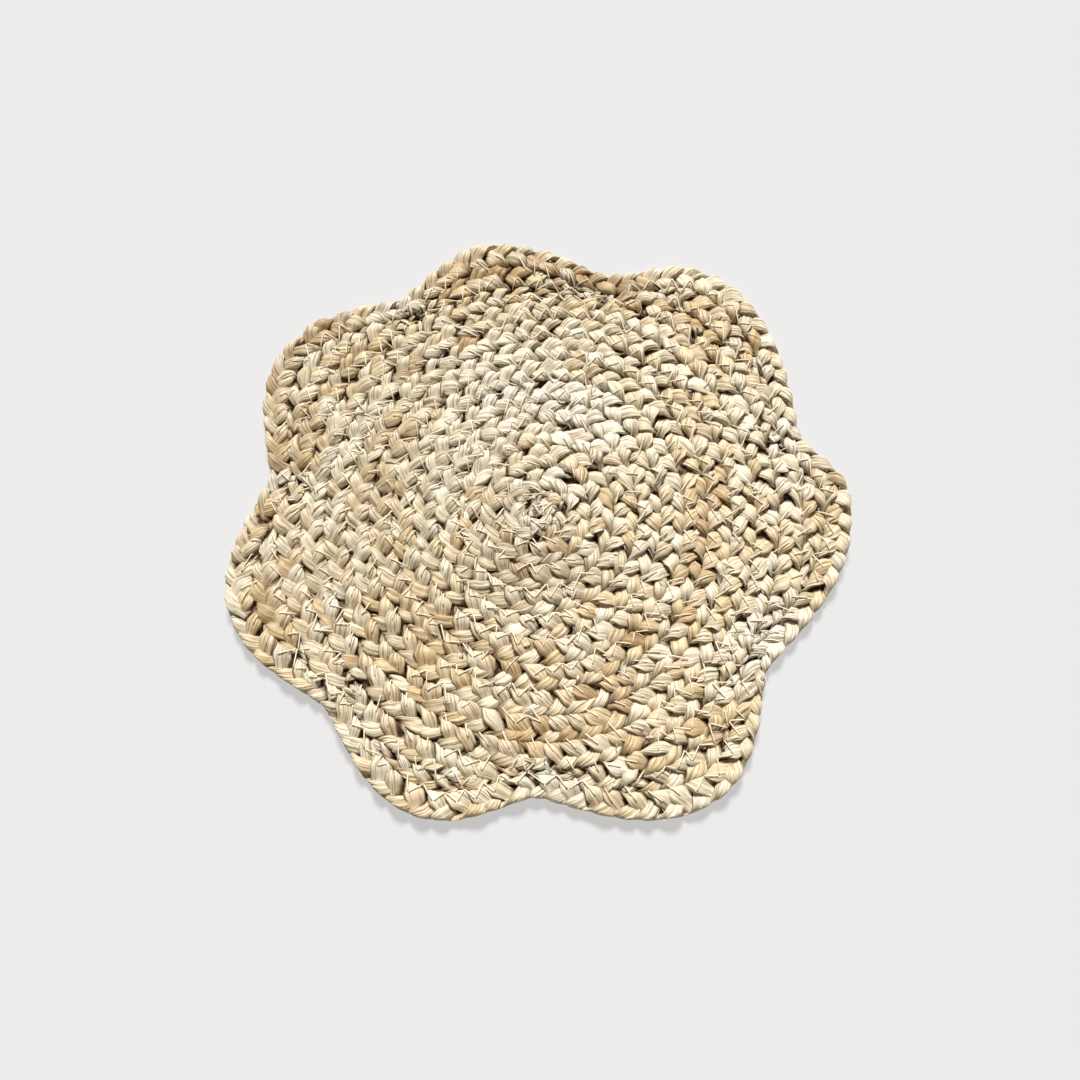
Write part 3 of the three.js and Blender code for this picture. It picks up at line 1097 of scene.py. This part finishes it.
def leaf_material():
    """Straw-coloured leaf with fibres along each strand, and painted shade in folds and gaps."""
    n = Nodes("straw")
    split = n.add("ShaderNodeSeparateXYZ", {0: n.uv()})
    along = split.outputs[0]
    angle = n.times(split.outputs[1], TURN)

    def fibres(fineness, stretch, detail):
        x = n.times(n.math("COSINE", angle), fineness)
        y = n.times(n.math("SINE", angle), fineness)
        place = n.add("ShaderNodeCombineXYZ", {0: x, 1: y, 2: n.times(along, stretch)})
        return n.noise(place.outputs[0], detail, roughness=0.55)

    def rising(value, start, gain):
        return n.times(n.math("SUBTRACT", value, start), gain, clamp=True)

    def amount(name, gain=1.0):
        return n.times(n.attribute(name), gain, clamp=True)

    broad = fibres(fineness=1.7, stretch=45.0, detail=1.0)
    lines = rising(fibres(fineness=5.0, stretch=60.0, detail=4.0), start=0.34, gain=7.0)
    # Tan and white by zones and lumps, with painted light in the lighter zones above the centre
    leaf = n.ramp(n.attribute("tint"), STRAW)
    leaf = n.mix(amount("pale"), leaf, PALE_LEAF)
    # Duller by zones and lumps, partly the leaf's own colour and partly painted shade below the centre
    leaf = n.mix(amount("shade"), leaf, n.tinted(leaf, DULL_LEAF_AND_PAINTED_SHADE))
    leaf = n.mix(lines, n.tinted(leaf, FIBRE_LINE), leaf)
    leaf = n.tinted(leaf, n.math("ADD", n.times(broad, 0.4), 0.82))
    # Painted shade in the plait's pits and on the strands' sides, less on the mat's own edge
    leaf = n.mix(rising(n.attribute("gap"), start=0.24, gain=1.8), leaf, n.tinted(leaf, PAINTED_PIT_SHADE))
    # Painted shade in the lengthwise folds, by how deep each point lies in one
    leaf = n.mix(amount("fold", gain=0.9), leaf, n.tinted(leaf, PAINTED_FOLD_SHADE))
    normal = n.bump(broad, 0.0015, Normal=n.bump(lines, 0.0004))
    look = {"Base Color": leaf, "Normal": normal, "Roughness": 0.5, "Specular IOR Level": 0.4}
    return n.finish(look)


def thread_material():
    n = Nodes("thread")
    stretched = n.add("ShaderNodeMapping", {"Vector": n.uv(), "Scale": (350.0, 6.0, 1.0)})
    uneven = n.noise(stretched.outputs[0], detail=2.0, roughness=0.5)
    return n.finish({"Base Color": n.ramp(uneven, THREAD_COLOURS), "Roughness": 0.6})


def floor_material():
    look = {"Base Color": FLOOR_COLOUR, "Roughness": 0.9, "Specular IOR Level": 0.0}
    glow = {"Emission Color": WHITE, "Emission Strength": FLOOR_GLOW}
    return Nodes("floor").finish({**look, **glow})


# ---- floor, light and camera ----

FLOOR_REACH = 3.0  # metres, to each side
FLOOR_BELOW = 0.0002  # metres

SUN = dict(strength=4.47, softness=16, azimuth=91, elevation=47)
SUN_COLOUR = (1.0, 0.989, 0.962)
WORLD_COLOUR = (1.0, 0.85, 0.64, 1.0)
WORLD_STRENGTH = 0.2

CAMERA_ELEVATION = 72.0
CAMERA_DISTANCE = 648.9
CAMERA_AIM = np.array([0.0, -17.3])  # from the spiral's centre
SENSOR = 36.0
FOCAL_PIXELS = 1066.0
IMAGE_PIXELS = 1080.0


def make_floor():
    reach = FLOOR_REACH
    mesh = bpy.data.meshes.new("floor")
    corners = [(-reach, -reach, 0), (reach, -reach, 0), (reach, reach, 0), (-reach, reach, 0)]
    mesh.from_pydata(corners, [], [(0, 1, 2, 3)])
    mesh.materials.append(floor_material())
    floor = new_object("floor", mesh)
    floor.location.z = -FLOOR_BELOW


def make_sun():
    light = bpy.data.lights.new("key", "SUN")
    light.energy = SUN["strength"]
    light.angle = math.radians(SUN["softness"])
    light.color = SUN_COLOUR
    turn = math.radians(SUN["azimuth"]) + math.pi / 2
    tilt = math.pi / 2 - math.radians(SUN["elevation"])
    new_object("key", light).rotation_euler = (tilt, 0, turn)


def make_world():
    world = bpy.data.worlds.new("studio")
    world.use_nodes = True
    background = world.node_tree.nodes["Background"]
    background.inputs["Color"].default_value = WORLD_COLOUR
    background.inputs["Strength"].default_value = WORLD_STRENGTH
    bpy.context.scene.world = world
    bpy.context.scene.view_settings.view_transform = "Standard"


def make_camera():
    data = bpy.data.cameras.new("camera")
    data.sensor_width = SENSOR
    data.lens = FOCAL_PIXELS / IMAGE_PIXELS * SENSOR
    camera = new_object("camera", data)
    aim = (CAMERA_AIM - MIDDLE) * MM
    tilt = math.radians(CAMERA_ELEVATION)
    back = CAMERA_DISTANCE * MM
    camera.location = (aim[0], aim[1] - back * math.cos(tilt), back * math.sin(tilt))
    camera.rotation_euler = (math.pi / 2 - tilt, 0, 0)
    bpy.context.scene.camera = camera


# ---- making the mat ----


def dress(piece, material, slot, *nodes):
    piece.data.materials.append(material)
    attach(piece, "root")
    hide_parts(*nodes)


def make_strands(name, group, slot, node, closed=False):
    """Makes one piece from a group of strands."""
    tubes = Tubes()
    for strand in group:
        tubes.add(strand.rings, strand.travelled, closed, **strand.fields)
    piece = tubes.object(name)
    dress(piece, straw, slot, node)


rows = {"coil": [coil_route()], "rim": [rim_route()]}
strands = {"coil": plait(rows["coil"], SEEDS["coil"])}
strands["rim"] = plait(rows["rim"], SEEDS["rim"], edge_free=True)
fills = [f"petal_fill_{number}" for number in range(1, len(PETALS) + 1)]
for index, node in enumerate(fills):
    rows[node] = petal_routes(index)
    strands[node] = plait(rows[node], SEEDS["petals"] + SEEDS["next_petal"] * index)
all_strands = [strand for group in strands.values() for strand in group]

stitch_rng = np.random.default_rng(SEEDS["thread"])
stitches = []
for node, routes in rows.items():
    for row, route in enumerate(routes):
        group = strands[node][STRANDS * row : STRANDS * (row + 1)]
        stitches += stitches_on(route, group, stitch_rng)
dent_strands(all_strands, stitches)
heights = heights_of(all_strands)

straw = leaf_material()
stitching = thread_object(stitches, heights, stitch_rng)
dress(stitching, thread_material(), "thread", "coil", "rim")
leaf_rng = np.random.default_rng(SEEDS["loose_leaf"])
loose_leaf = loose_leaf_object(all_strands, heights, leaf_rng)
dress(loose_leaf, straw, "husk", "coil", "rim")
for number, strand in enumerate(strands["coil"], start=1):
    make_strands(f"coil_strand_{number}", [strand], "plait", "coil")
make_strands("rim_strands", strands["rim"], "plait", "rim", closed=True)
for number, node in enumerate(fills, start=1):
    make_strands(f"petal_strands_{number}", strands[node], "husk", node)

make_floor()
make_sun()
make_world()
make_camera()
